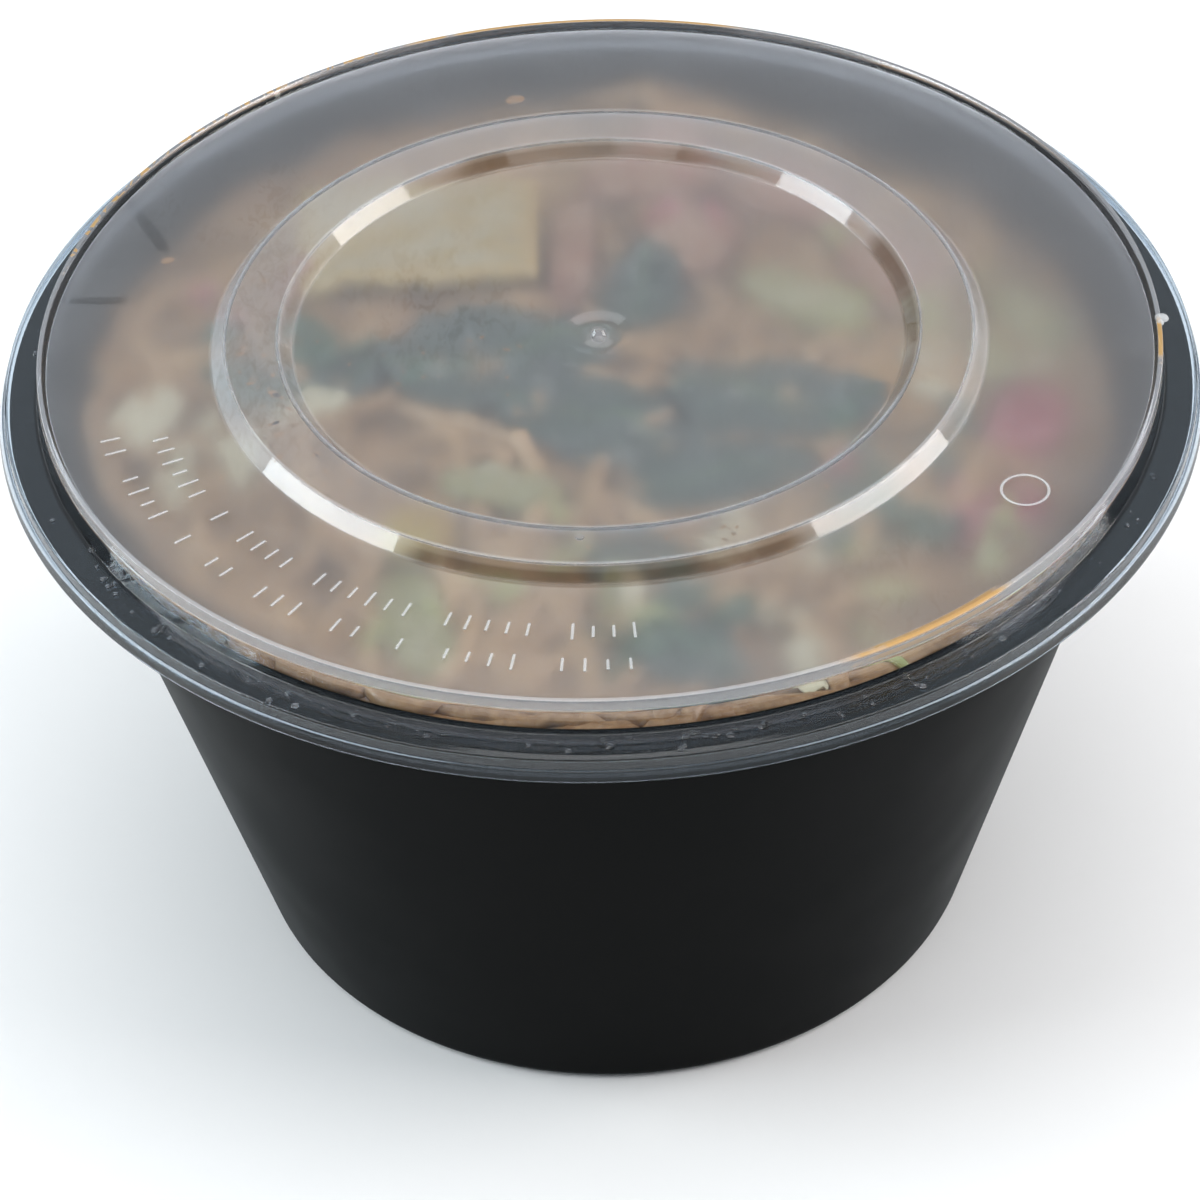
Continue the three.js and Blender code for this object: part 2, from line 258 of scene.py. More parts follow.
def draped(base, rounds):
    """Lets a sheet sink onto a height field: it spans the hollows and rests on the humps."""
    z = base.copy()
    for _ in range(rounds):
        p = np.pad(z, 1, mode="edge")
        z = np.maximum(base, (p[2:, 1:-1] + p[:-2, 1:-1] + p[1:-1, 2:] + p[1:-1, :-2]) / 4)
    return z


def ceiling(x, y, room=0.35):
    """Highest place under the lid."""
    r = np.hypot(x, y)
    under_ridge = np.interp(r, [41, 42.7, 49.2, 50.9], [0, 1.9, 1.9, 0])
    return PANEL_Z - LID_WALL - room + under_ridge


def waves(x, y, size, seed, layers=5):
    """Smooth uneven height between about -1 and 1, with features of a given size."""
    random = np.random.default_rng(seed)
    total = 0 * np.asarray(x, float)
    for _ in range(layers):
        angle, phase, scale = random.uniform(0, 6.28, 3)
        scale = size * (0.6 + 0.13 * scale)
        total = total + np.sin((x * math.cos(angle) + y * math.sin(angle)) * 2 * np.pi / scale + phase)
    return total / layers * 1.4


def shade_of(seed):
    """Share between 0 and 1 that tells like pieces apart."""
    return (seed * 0.618) % 1


def lay_sheet(
    shape, outline, at, turn, length, width, thick, wave, seed, rounds=14, relief=None, step=0.8, room=0.35
):
    """Adds one flat piece of food, draped over the pile, and raises the pile under it."""
    rows, columns = max(int(length / step), 8), max(int(width / step), 8)
    u, v = np.meshgrid(np.linspace(-0.5, 0.5, rows), np.linspace(-1, 1, columns), indexing="ij")
    ragged = 1 + 0.05 * waves(u * length, v * 3, 6, seed)
    half = outline(u + 0.5) * width / 2 * ragged
    angle = math.radians(turn)
    x = at[0] + u * length * math.cos(angle) - v * half * math.sin(angle)
    y = at[1] + u * length * math.sin(angle) + v * half * math.cos(angle)
    bend = v * outline(u + 0.5) / 2
    curl = wave * (np.sin(9 * u + at[0]) * np.cos(5 * bend) + 1.2 * bend**2)
    curl += 0.35 * wave * waves(x, y, 5, seed + 1)
    low = draped(pile.height(x, y), rounds) + 0.1 + curl - curl.min() * 0.4
    round_edge = np.clip(1 - np.maximum(np.abs(2 * u), np.abs(v)) ** 10, 0.0, 1) ** 0.5
    depth = thick * (0.3 + 0.7 * round_edge)
    if relief is not None:
        depth = depth + relief(u, v, x, y, seed)
    middle = np.minimum(low, ceiling(x, y, room) - thick) + thick / 2
    top, bottom = middle + depth / 2, middle - depth / 2
    inside = np.minimum((inner_radius(bottom) - 0.5) / np.maximum(np.hypot(x, y), 1), 1)
    x, y = x * inside, y * inside
    upper, lower = (np.stack([x, y, z], 2).reshape(-1, 3) for z in (top, bottom))
    faces = grid_faces(rows, columns)
    border = (
        [(0, j) for j in range(columns)]
        + [(i, columns - 1) for i in range(1, rows)]
        + [(rows - 1, j) for j in range(columns - 2, -1, -1)]
        + [(i, 0) for i in range(rows - 2, 0, -1)]
    )
    loop = np.array([i * columns + j for i, j in border])
    ahead, size = np.roll(loop, -1), rows * columns
    sides = np.stack([loop, ahead, ahead + size, loop + size], 1)
    faces = np.concatenate([faces, faces[:, ::-1] + size, sides])
    along, across = np.tile(u.ravel(), 2), np.tile(v.ravel(), 2)
    shape.add(np.concatenate([upper, lower]), faces, along=along, across=across, shade=shade_of(seed))
    pile.stamp(x, y, top)


def lay_table(table, first, outline, thick, wave, finish, food, renamed, **more):
    """Lays each sheet of a table as a piece of its own, numbered from first."""
    for number, (node, (at, turn, length, width)) in enumerate(table.items(), first):
        shape = Shape()
        lay_sheet(shape, outline, at, turn, length, width, thick, wave, number, **more)
        shape.piece(node.replace(*renamed), finish, food, [node])


def lay_lump(shape, at, turn, size, seed, sink=0.3, power=0.7, rough=0.05):
    """Adds one lump with softened corners, sunk a little into the pile, and raises the pile under it."""
    rows, columns = 26, 40
    theta, phi = np.meshgrid(
        np.linspace(0, np.pi, rows), np.linspace(0, 2 * np.pi, columns, endpoint=False), indexing="ij"
    )
    ball = np.stack([np.sin(theta) * np.cos(phi), np.sin(theta) * np.sin(phi), np.cos(theta)])
    ball = np.sign(ball) * np.abs(ball) ** power
    a, b, c = (ball[k] * size[k] / 2 for k in range(3))
    swell = 1 + rough * waves(a + 2 * c, b - c, max(size) * 0.5, seed)
    angle = math.radians(turn)
    x = at[0] + (a * math.cos(angle) - b * math.sin(angle)) * swell
    y = at[1] + (a * math.sin(angle) + b * math.cos(angle)) * swell
    base = float(np.median(pile.height(x, y))) - sink * size[2] + size[2] / 2
    z = np.minimum(base + c * swell, ceiling(x, y))
    shape.add(
        np.stack([x, y, z], 2), grid_faces(rows, columns, False, True),
        along=a / size[0], across=b / size[1], shade=shade_of(seed),
    )
    pile.stamp(x, y, z)


# ---------- finishes


class Finish:
    """A node material, put together step by step. Sizes are in millimetres."""

    def __init__(self, name):
        self.material = bpy.data.materials.new(name)
        self.material.use_nodes = True
        self.tree = self.material.node_tree
        self.tree.nodes.clear()
        self.place = self.node("ShaderNodeTexCoord").outputs["Object"]

    def node(self, kind, **settings):
        """Adds a node of a kind, with its settings."""
        made = self.tree.nodes.new(kind)
        for key, value in settings.items():
            setattr(made, key, value)
        return made

    def put(self, socket, value):
        """Links a socket to another one, or sets its value."""
        if isinstance(value, bpy.types.NodeSocket):
            self.tree.links.new(value, socket)
        elif isinstance(value, tuple) and len(value) == 3 and len(socket.default_value) == 4:
            socket.default_value = (*value, 1)
        else:
            socket.default_value = value

    def maths(self, operation, *values, clamp=False):
        """Result of one sum."""
        made = self.node("ShaderNodeMath", operation=operation, use_clamp=clamp)
        for socket, value in zip(made.inputs, values):
            self.put(socket, value)
        return made.outputs[0]

    def less(self, value, other):
        """Difference of two values."""
        return self.maths("SUBTRACT", value, other)

    def size(self, value):
        """Value without its sign."""
        return self.maths("ABSOLUTE", value)

    def times(self, *values):
        """Product of several values."""
        total = values[0]
        for value in values[1:]:
            total = self.maths("MULTIPLY", total, value)
        return total

    def most(self, *values):
        """Greatest of several values."""
        total = values[0]
        for value in values[1:]:
            total = self.maths("MAXIMUM", total, value)
        return total

    def noise(self, size, detail=3.0, stretch=(1, 1, 1), distortion=0.0):
        """Cloudy values from 0 to 1, with features of about the given size."""
        mapping = self.node("ShaderNodeMapping")
        self.put(mapping.inputs["Vector"], self.place)
        mapping.inputs["Scale"].default_value = tuple(1 / (size * MM * s) for s in stretch)
        made = self.node("ShaderNodeTexNoise")
        self.put(made.inputs["Vector"], mapping.outputs[0])
        made.inputs["Scale"].default_value = 1
        made.inputs["Detail"].default_value = detail
        made.inputs["Distortion"].default_value = distortion
        return made.outputs["Fac"]

    def fit(self, value, low, high, to_low=0.0, to_high=1.0):
        """Maps low..high smoothly onto to_low..to_high, held at the ends."""
        made = self.node("ShaderNodeMapRange")
        made.interpolation_type = "SMOOTHSTEP"
        for socket, number in zip(made.inputs, (value, low, high, to_low, to_high)):
            self.put(socket, number)
        return made.outputs[0]

    def blend(self, share, first, second):
        """Colour that goes from first to second."""
        made = self.node("ShaderNodeMix", data_type="RGBA")
        self.put(made.inputs[0], share)
        self.put(made.inputs[6], first)  # the mix node's own sockets for colours
        self.put(made.inputs[7], second)
        return made.outputs[2]

    def value(self, name):
        """A named value stored on the piece's points."""
        return self.node("ShaderNodeAttribute", attribute_name=name).outputs["Fac"]

    def bump(self, height, depth):
        """Surface relief of a given depth in millimetres."""
        made = self.node("ShaderNodeBump")
        made.inputs["Strength"].default_value = 1
        made.inputs["Distance"].default_value = depth * MM
        self.put(made.inputs["Height"], height)
        return made.outputs[0]

    def length(self, a, b):
        """Length of the line with these two sides."""
        return self.maths("SQRT", self.maths("ADD", self.times(a, a), self.times(b, b)))

    def ring(self):
        """Distance from the axis and height in millimetres, and the angle about the axis in degrees."""
        split = self.node("ShaderNodeSeparateXYZ")
        self.put(split.inputs[0], self.place)
        x, y, z = (self.maths("DIVIDE", split.outputs[k], MM) for k in range(3))
        self.x, self.y = x, y
        return self.length(x, y), self.maths("DEGREES", self.maths("ARCTAN2", y, x)), z

    def near(self, x, y, reach):
        """1 above a place, fading to 0 at some reach from it; ring() comes first."""
        far = self.length(self.less(self.x, x), self.less(self.y, y))
        return self.fit(far, 0.0, reach, 1.0, 0.0)

    def streak(self, start, end, width):
        """1 along a line between two places, fading to 0 at half a width from it; ring() comes first."""
        reach = math.dist(start, end)
        dx, dy = (end[0] - start[0]) / reach, (end[1] - start[1]) / reach
        a, b = self.less(self.x, start[0]), self.less(self.y, start[1])
        along = self.maths("ADD", self.times(a, dx), self.times(b, dy))
        past = self.most(self.less(along, reach), self.times(along, -1.0), 0.0)
        off = self.less(self.times(a, dy), self.times(b, dx))
        return self.fit(self.length(past, off), width * 0.2, width / 2, 1.0, 0.0)

    def band(self, value, low, high, soft):
        """1 between low and high, fading to 0 over soft on either side."""
        rise = self.fit(value, low - soft, low)
        fall = self.fit(value, high, high + soft, 1.0, 0.0)
        return self.times(rise, fall)

    def surface(self, colour, roughness, normal=None, **sockets):
        """Principled shader; keyword names are its sockets with underscores for spaces."""
        made = self.node("ShaderNodeBsdfPrincipled")
        self.put(made.inputs["Base Color"], colour)
        self.put(made.inputs["Roughness"], roughness)
        if normal is not None:
            self.put(made.inputs["Normal"], normal)
        for key, value in sockets.items():
            self.put(made.inputs[key.replace("_", " ")], value)
        return made.outputs[0]

    def mix(self, share, first, second):
        """Mix of two shaders."""
        made = self.node("ShaderNodeMixShader")
        self.put(made.inputs[0], share)
        self.put(made.inputs[1], first)
        self.put(made.inputs[2], second)
        return made.outputs[0]

    def lets_lamps(self, shader, tint):
        """Lets light from lamps pass, so that what is behind stays lit."""
        clear = self.node("ShaderNodeBsdfTransparent")
        self.put(clear.inputs["Color"], tint)
        return self.mix(self.node("ShaderNodeLightPath").outputs["Is Shadow Ray"], shader, clear.outputs[0])

    def done(self, shader):
        """The material with its shader in place."""
        self.put(self.node("ShaderNodeOutputMaterial").inputs["Surface"], shader)
        return self.material


def bowl_finish(colour, roughness):
    """Black moulded plastic with a faint skin."""
    f = Finish("bowl_plastic")
    skin = f.noise(0.35, 2)
    cloud = f.noise(22, 2)
    tone = f.blend(f.fit(cloud, 0.3, 0.7), tuple(c * 0.8 for c in colour), tuple(c * 1.25 for c in colour))
    rough = f.fit(cloud, 0.3, 0.7, roughness - 0.03, roughness + 0.04)
    shader = f.surface(
        tone, rough, f.bump(skin, 0.005), Specular_IOR_Level=0.018,
        Sheen_Weight=0.03, Sheen_Roughness=0.25, Sheen_Tint=(0.75, 0.93, 1.0),
    )
    return f.done(shader)


def lid_finish(colour, haze, blur):
    """Milky see-through plastic: smooth on top and fogged underneath, with wet runs and stains of sauce."""
    f = Finish("lid_plastic")
    radius, angle, height = f.ring()
    leftness = f.maths("DIVIDE", f.x, f.times(radius, -1.0))
    farness = f.maths("DIVIDE", f.y, radius)
    under = f.less(1.0, f.value("upper"))
    fog = f.noise(14, 4, distortion=0.8)
    mottle = f.noise(1.3, 3, stretch=(1, 2.2, 1), distortion=1.0)
    # the fog, and where water has cleared it
    fogged = f.times(under, f.fit(radius, 73.4, 73.7, 1.0, 0.0))
    speckled = f.most(
        f.near(-50, 31, 20), f.times(f.near(-20, 8, 26), 0.8), f.times(f.near(40, -52, 22), 0.5), 0.12
    )
    damp = f.times(f.fit(mottle, 0.5, 0.6), f.fit(fog, 0.36, 0.52), speckled)
    runs = f.most(
        f.streak((-64.3, 34), (-59, 23), 2.6), f.streak((-71, 11.5), (-64, 11.2), 2.4), f.near(-65.5, 35, 4)
    )
    wet = f.most(damp, f.times(runs, f.fit(fog, 0.2, 0.4, 0.7, 1.0)))
    # the ridge's plateau is made milkier towards the far side and the left
    far_left_paler = f.most(f.fit(farness, -0.6, 0.9, 0.1, 1.15), f.fit(leftness, 0.2, 1, 0, 0.85))
    plateau = f.times(f.band(radius, 42.5, 49.4, 0.5), far_left_paler)
    milk = f.times(f.fit(fog, 0.3, 0.7, haze * 0.75, haze * 1.25), f.fit(wet, 0, 1, 1.0, 0.2))
    milk = f.maths("ADD", milk, f.times(plateau, 0.13))
    milk = f.times(milk, fogged)
    ledge = f.times(f.band(radius, 75.2, 78.4, 0.4), f.fit(f.size(leftness), 0.3, 0.95, 0.0, 0.015))
    # pale lines along the bead and the corners and feet of the ridge: partly the thicker plastic's own
    # milkiness, partly painted highlight for the light that gathers in these rounded edges; the ledge is
    # milkier at its left and right sides
    bead = f.times(f.band(radius, 73.55, 74.05, 0.15), f.fit(height, 89.9, 90.1))
    corners = f.most(f.band(radius, 42.2, 42.5, 0.3), f.band(radius, 49.4, 49.8, 0.3))
    feet = f.most(f.band(radius, 40.5, 40.7, 0.3), f.band(radius, 51.2, 51.4, 0.3))
    # painted highlight: the ridge's outer slope is made milkier at the left, standing in for the left lamp's
    # reflection on it
    left_slope_highlight = f.times(f.band(radius, 49.6, 50.8, 0.4), f.fit(leftness, 0.2, 0.8))
    lines = f.most(
        f.times(bead, 0.24), f.times(corners, 0.15), f.times(feet, 0.08), f.times(left_slope_highlight, 0.12), ledge
    )
    # stains
    near_ridge = f.times(f.band(radius, 49.9, 51.3, 0.4), f.band(angle, -116, -64, 5))
    far_ridge = f.times(f.band(radius, 40.6, 42.2, 0.4), f.band(angle, 74, 112, 10))
    right_ridge = f.times(f.band(radius, 40.6, 42.2, 0.4), f.band(angle, -22, 22, 6))
    left_ridge = f.times(f.band(radius, 41.5, 50.5, 1.5), f.fit(leftness, 0.75, 0.95))
    left_ridge = f.times(left_ridge, f.fit(mottle, 0.45, 0.65))
    stains = f.times(f.most(near_ridge, far_ridge, right_ridge), f.fit(fog, 0.3, 0.6, 0.6, 1.0))
    stains = f.most(stains, f.times(left_ridge, 0.22), f.times(damp, fogged, 0.3))
    places = f.most(
        f.band(angle, -66, -50, 3), f.band(angle, 76, 108, 6), f.band(angle, -10, -3, 2),
        f.times(f.band(angle, 112, 165, 4), f.fit(mottle, 0.5, 0.56)),
    )
    rim = f.most(bead, f.times(f.band(radius, 72.2, 73.0, 0.3), f.band(angle, -66, -50, 3)))
    oil = f.times(places, rim, f.fit(fog, 0.33, 0.45))
    rim_colour = tuple(c * k for c, k in zip(colour, (0.72, 0.82, 0.88)))
    tone = f.blend(f.fit(radius, 74.3, 74.9), colour, rim_colour)
    tone = f.blend(f.fit(radius, 78.8, 79.1), tone, tuple(c * 0.8 for c in rim_colour))
    tone = f.blend(f.times(stains, 0.75), tone, screen(124, 98, 56))
    tone = f.blend(f.times(oil, 0.85), tone, screen(214, 160, 52))
    milk = f.maths("ADD", f.most(milk, lines), f.times(oil, 0.3), clamp=True)
    rough = f.fit(f.times(fogged, f.fit(wet, 0, 1, 1.0, 0.75)), 0, 1, 0.04, blur)
    shader = f.surface(
        tone, rough, Transmission_Weight=f.less(1.0, milk), IOR=1.42,
        Coat_Weight=0.4, Coat_Roughness=0.04, Coat_IOR=1.5,
    )
    return f.done(f.lets_lamps(shader, (0.97, 0.97, 0.96)))


def sauce_finish():
    """Thin brown sauce, darker where it is thick."""
    f = Finish("sauce")
    tone = f.blend(f.fit(f.noise(1.5, 3), 0.4, 0.62), screen(156, 124, 82), screen(204, 144, 76))
    rough = f.fit(f.noise(0.8), 0.3, 0.7, 0.18, 0.35)
    return f.done(f.surface(tone, rough, IOR=1.35))


def water_finish():
    """Clear water."""
    f = Finish("water")
    rough = f.fit(f.noise(0.5), 0.3, 0.7, 0.01, 0.05)
    shader = f.surface((0.95, 0.97, 1.0), rough, Transmission_Weight=1.0, IOR=1.33)
    return f.done(f.lets_lamps(shader, (0.95, 0.97, 1.0)))


def noodle_finish(colour):
    """Wheat noodles browned by sauce, with an oily shine."""
    f = Finish("noodles")
    shade = f.value("shade")
    sauce = f.noise(9, 3)
    pale = tuple(min(c * 1.35, 1) for c in colour)
    dark = tuple(c * k for c, k in zip(colour, (0.55, 0.45, 0.36)))
    # each strand's own tone from its shade value, which near the wall holds painted shade
    tone = f.blend(f.fit(shade, 0, 1), dark, pale)
    tone = f.blend(f.fit(sauce, 0.42, 0.66, 0.0, 0.6), tone, dark)
    tone = f.blend(f.fit(f.noise(1.2, 3), 0.35, 0.7, 0.0, 0.35), tone, pale)
    rough = f.fit(f.noise(2.5, 3), 0.3, 0.7, 0.28, 0.5)
    relief = f.bump(f.noise(0.7, 3), 0.05)
    return f.done(f.surface(tone, rough, relief))


def soft_finish(name, pale, dark, grain, stretch=(1, 1, 1), rough=(0.4, 0.6), depth=0.06, edge=None):
    """Food with a cloudy colour and a fine grain; edge is the colour of its rim."""
    f = Finish(name)
    tone = f.blend(f.fit(f.noise(grain * 5, 4), 0.35, 0.65), pale, dark)
    fine = f.noise(grain, 4, stretch)
    tone = f.blend(f.fit(fine, 0.45, 0.75, 0.0, 0.5), tone, dark)
    if edge is not None:
        rim = f.most(f.size(f.value("across")), f.times(f.size(f.value("along")), 2.0))
        tone = f.blend(f.fit(rim, 0.72, 0.98, 0.0, 0.8), tone, edge)
    shine = f.fit(f.noise(grain * 3, 3), 0.3, 0.7, *rough)
    relief = f.bump(fine, depth)
    return f.done(f.surface(tone, shine, relief))


def leaf_finish(pale, dark):
    """Dark wilted leaf with paler veins."""
    f = Finish("leaf")
    across, along = f.value("across"), f.value("along")
    rib = f.fit(f.size(across), 0.03, 0.14, 1.0, 0.0)
    slanted = f.less(f.times(along, 9.0), f.times(f.size(across), 2.2))
    veins = f.size(f.less(f.maths("FRACT", slanted), 0.5))
    lines = f.most(rib, f.times(f.fit(veins, 0.0, 0.09, 1.0, 0.0), 0.6))
    tone = f.blend(f.fit(f.noise(6, 4), 0.35, 0.65), dark, tuple(c * 1.6 for c in dark))
    tone = f.blend(f.times(lines, 0.7), tone, pale)
    relief = f.bump(f.maths("ADD", f.noise(1.4, 3), f.times(lines, 0.6)), 0.12)
    rough = f.fit(f.noise(3), 0.3, 0.7, 0.25, 0.45)
    return f.done(f.surface(tone, rough, relief))


def floor_finish(colour, fade):
    """Plain pale studio floor that dissolves into the backdrop; fade is where, in metres from the middle."""
    f = Finish("floor")
    tone = f.blend(f.fit(f.noise(180, 2), 0.3, 0.7), tuple(c * 0.985 for c in colour), colour)
    pale = f.surface(tone, 0.75, Specular_IOR_Level=0.2)
    radius = f.ring()[0]
    gone = f.fit(radius, fade[0] / MM, fade[1] / MM)
    return f.done(f.mix(gone, pale, f.node("ShaderNodeBsdfTransparent").outputs[0]))


# ---------- bowl and lid


def make_bowl(settings):
    wall = settings.wall
    floor_z = FOOT_RECESS + wall
    flange_z = RIM_Z - wall
    corners = [
        (0, FOOT_RECESS),
        (43.5, FOOT_RECESS, 0.6),
        (44.5, 0, 0.5),
        (FOOT_R, 0, 2.5),
        (FOOT_R + WALL_SPREAD * flange_z, flange_z, 0.5),
        (RIM_R - 0.9, flange_z, 0.2),
        (RIM_R - 0.9, RIM_Z - RIM_LIP),
        (RIM_R, RIM_Z - RIM_LIP, 0.2),
        (RIM_R, RIM_Z, 0.6),
        (inner_radius(RIM_Z, wall), RIM_Z, 0.5),
        (inner_radius(floor_z, wall), floor_z, 2),
        (0, floor_z),
    ]
    shape = Shape()
    turned(shape, rounded(corners), 256)
    finish = bowl_finish(tuple(settings.colour), settings.roughness)
    shape.piece("bowl_shell", finish, "bowl_plastic", ["bowl"])


def make_lid(settings):
    wall = settings.wall
    upper = [
        (0, PANEL_Z + 0.9),
        (0.45, PANEL_Z + 0.88),
        (0.8, PANEL_Z + 0.5),
        (1.28, PANEL_Z - 0.36),
        (3.3, PANEL_Z - 0.4, 0.4),
        (4.8, PANEL_Z, 0.5),
        (RIDGE_IN_FOOT, PANEL_Z, 0.2),
        (RIDGE_IN_TOP, RIDGE_Z, 0.2),
        (RIDGE_OUT_TOP, RIDGE_Z, 0.2),
        (RIDGE_OUT_FOOT, PANEL_Z, 0.2),
        (73.0, PANEL_Z, 0.25),
        (73.5, EDGE_Z, 0.15),
        (EDGE_R, EDGE_Z, 0.2),
        (74.6, LEDGE_Z, 0.3),
        (78.95, LEDGE_Z - 0.1, 0.25),
        (79.1, 83.7, 0.08),
        (79.4, 83.7, 0.12),
        (SKIRT_R, SKIRT_Z),
    ]
    under = [
        (SKIRT_R - 0.45, SKIRT_Z),
        (78.8, 83.3, 0.15),
        (78.55, 84.7, 0.2),
        (74.0, 84.7, 0.3),
        (73.6, PANEL_Z - wall, 0.4),
        (50.9, PANEL_Z - wall, 0.3),
        (49.2, RIDGE_Z - wall, 0.3),
        (42.7, RIDGE_Z - wall, 0.3),
        (41.0, PANEL_Z - wall, 0.3),
        (0, PANEL_Z - wall),
    ]
    shape = Shape()
    upper, under = rounded(upper), rounded(under)
    turned(shape, upper + under, 320, upper=[1.0] * len(upper) + [0.0] * len(under))
    finish = lid_finish(tuple(settings.colour), settings.haze, settings.blur)
    shape.piece("lid_shell", finish, "lid_plastic", ["lid"], sharp=60)


def make_marks(settings):
    """Plain raised ticks in two arcs on the lid's panel, one small raised ring, and a blob on the bead."""
    shape = Shape()
    random = np.random.default_rng(7)
    thick, ring_x, ring_y, ring_r = 0.19, 53, -35.8, 3.0
    for arc_r, first, last in ((66.3, 197, 274), (60.2, 199, 275)):
        degree = first
        while degree < last:
            turn = math.radians(degree)
            reach = np.linspace(-1, 1, 7)[:, None] * random.uniform(0.9, 1.5)
            out = np.array([math.cos(turn), math.sin(turn), 0.0])
            middle = np.array([0, 0, PANEL_Z]) + out * arc_r
            tube(shape, middle + reach * out, thick, flat=0.3, upper=1)
            degree += random.choice([2.4, 2.4, 2.4, 5.2])
    turn = np.linspace(0, 2 * np.pi, 33)
    ring = np.stack([ring_x + ring_r * np.cos(turn), ring_y + ring_r * np.sin(turn), 0 * turn + PANEL_Z], 1)
    tube(shape, ring, thick, flat=0.3, upper=1)
    for x, y, z, size in ((74.3, -1.9, EDGE_Z - 0.5, 0.9), (73.9, -3.2, EDGE_Z - 0.3, 0.5)):
        cap(shape, x, y, z, size, 0.6, upper=1)
    shape.piece("lid_marks", bpy.data.materials["lid_plastic"], "lid_plastic")


# ---------- food


def strand(random, start_r, start_angle, count, step):
    """Wandering path of one noodle, turned back from the wall."""
    x, y = start_r * math.cos(start_angle), start_r * math.sin(start_angle)
    heading = start_angle + math.pi / 2 + random.uniform(-1, 1)
    bend, path = random.uniform(-0.15, 0.15), []
    for _ in range(count):
        path.append((x, y))
        bend = min(max(bend + random.uniform(-0.09, 0.09), -0.24), 0.24)
        ahead = math.hypot(x + 3 * step * math.cos(heading), y + 3 * step * math.sin(heading))
        inward = math.atan2(-y, -x)
        heading += bend + (0.32 * math.sin(inward - heading) if ahead > FOOD_REACH - 2 else 0)
        x += step * math.cos(heading)
        y += step * math.sin(heading)
        far = math.hypot(x, y) / (FOOD_REACH - 1.2)
        if far > 1:
            x, y = x / far, y / far
    return np.array(path)


def make_noodles(settings):
    """The filling: a core up to an uneven top, and strands laid over it one after another."""
    pile.empty()
    shape = Shape()
    rings = np.concatenate([[0.01], np.linspace(3, 69.8, 30)])
    turn = np.linspace(0, 2 * np.pi, 96, endpoint=False)
    x, y = rings[:, None] * np.cos(turn), rings[:, None] * np.sin(turn)
    height = heap_height(x, y) - SETTLE + 0.5 * waves(x, y, 7, 3)
    inside = np.minimum((inner_radius(height) - 0.4) / np.hypot(x, y), 1)
    top = np.stack([x * inside, y * inside, height], 2)
    low_z = np.array([66.0, 40.0, 12.0, 4.4, 2.4])
    low_r = np.array([inner_radius(z) - 0.4 for z in low_z])
    low_r[-1] -= 2
    low_r, low_z = low_r[:, None], low_z[:, None]
    skin = np.stack([low_r * np.cos(turn), low_r * np.sin(turn), low_z + 0 * turn], 2)
    base = np.stack([0.01 * np.cos(turn), 0.01 * np.sin(turn), 2.4 + 0 * turn], 1)[None]
    body = np.concatenate([top, skin, base])
    shape.add(body, grid_faces(len(body), len(turn), False, True), shade=0.15)
    random = np.random.default_rng(11)
    radius = settings.width / 2
    for k in range(settings.strands):
        share = (k + 0.5) / settings.strands
        start_r = (FOOD_REACH - 3) * math.sqrt(1 - share * 0.97)
        path = strand(random, start_r, k * GOLDEN_ANGLE, int(random.integers(16, 34)), 2.1)
        px, py = path[:, 0], path[:, 1]
        thick = radius * random.uniform(0.85, 1.12)
        under = pile.height(px, py) + 0.55 * thick
        low = heap_height(px, py) - 1.2
        z = np.clip(under, low, heap_height(px, py) + 2.4)
        for _ in range(3):
            soft = np.convolve(np.pad(z, 2, mode="edge"), np.ones(5) / 5, mode="valid")
            z = np.maximum(z, soft)
        z[[0, -1]] -= 1.2 * thick
        z = np.minimum(z, ceiling(px, py) - thick)
        inside = (FOOT_R + WALL_SPREAD * z - 1.4 - thick) / np.maximum(np.hypot(px, py), 1)
        px, py = px * np.minimum(inside, 1), py * np.minimum(inside, 1)
        taper = np.full(len(px), thick)
        taper[[0, -1]] *= 0.75
        # painted shade: strands near the bowl's wall get a darker tone, for the shade under the lid's rim
        shade = random.uniform(0, 1) * np.interp(np.hypot(px, py), [62, 68], [1, 0.3])
        tube(shape, np.stack([px, py, z], 1), taper, flat=0.9, shade=tube_values(shade))
        for side in (-0.5, 0, 0.5):
            nx, ny = np.gradient(py), -np.gradient(px)
            size = np.hypot(nx, ny) + 1e-9
            pile.stamp(px + nx / size * side * thick, py + ny / size * side * thick, z + thick * 0.8)
    pile.top = draped(pile.top, 2)
    shape.piece("noodle_bed", noodle_finish(tuple(settings.colour)), "noodles", ["noodle_heap"], sharp=70)


def block_outline(t):
    return 1 - 0.08 * np.abs(2 * t - 1) ** 4


def slice_outline(t):
    return np.sqrt(np.clip(1 - np.abs(2 * t - 1) ** 3, 0, 1)) * 0.72 + 0.28


def leaf_outline(t):
    return 0.16 + 0.84 * np.sin(np.pi * np.clip(t, 0, 1) ** 0.8).clip(0, 1) ** 0.8


def pores(u, v, x, y, seed):
    """Relief of the egg."""
    return 0.35 * waves(x, y, 4, 21) + 0.2 * waves(x, y, 1.8, 22)


def make_egg(settings):
    shape = Shape()
    lay_sheet(shape, block_outline, (-24.5, 28.5), 0, 33, 27, 4.4, 0.3, 5, 60, pores)
    pale = tuple(settings.egg)
    finish = soft_finish("egg", pale, screen(206, 178, 120), 1.1, edge=screen(214, 182, 118))
    shape.piece("egg_slab", finish, "egg", ["egg_block"])


LUMPS = {  # place, turn, size, number
    "tofu_piece": ((39.5, -7.5), 20, (15, 14, 7), 1),
    "ham_piece_1": ((56, -11.5), 70, (15, 11, 7), 2),
    "ham_piece_2": ((51, -31), 40, (14, 9, 6), 3),
    "corn_piece": ((-23.5, -34.5), 10, (9, 8, 6), 4),
}


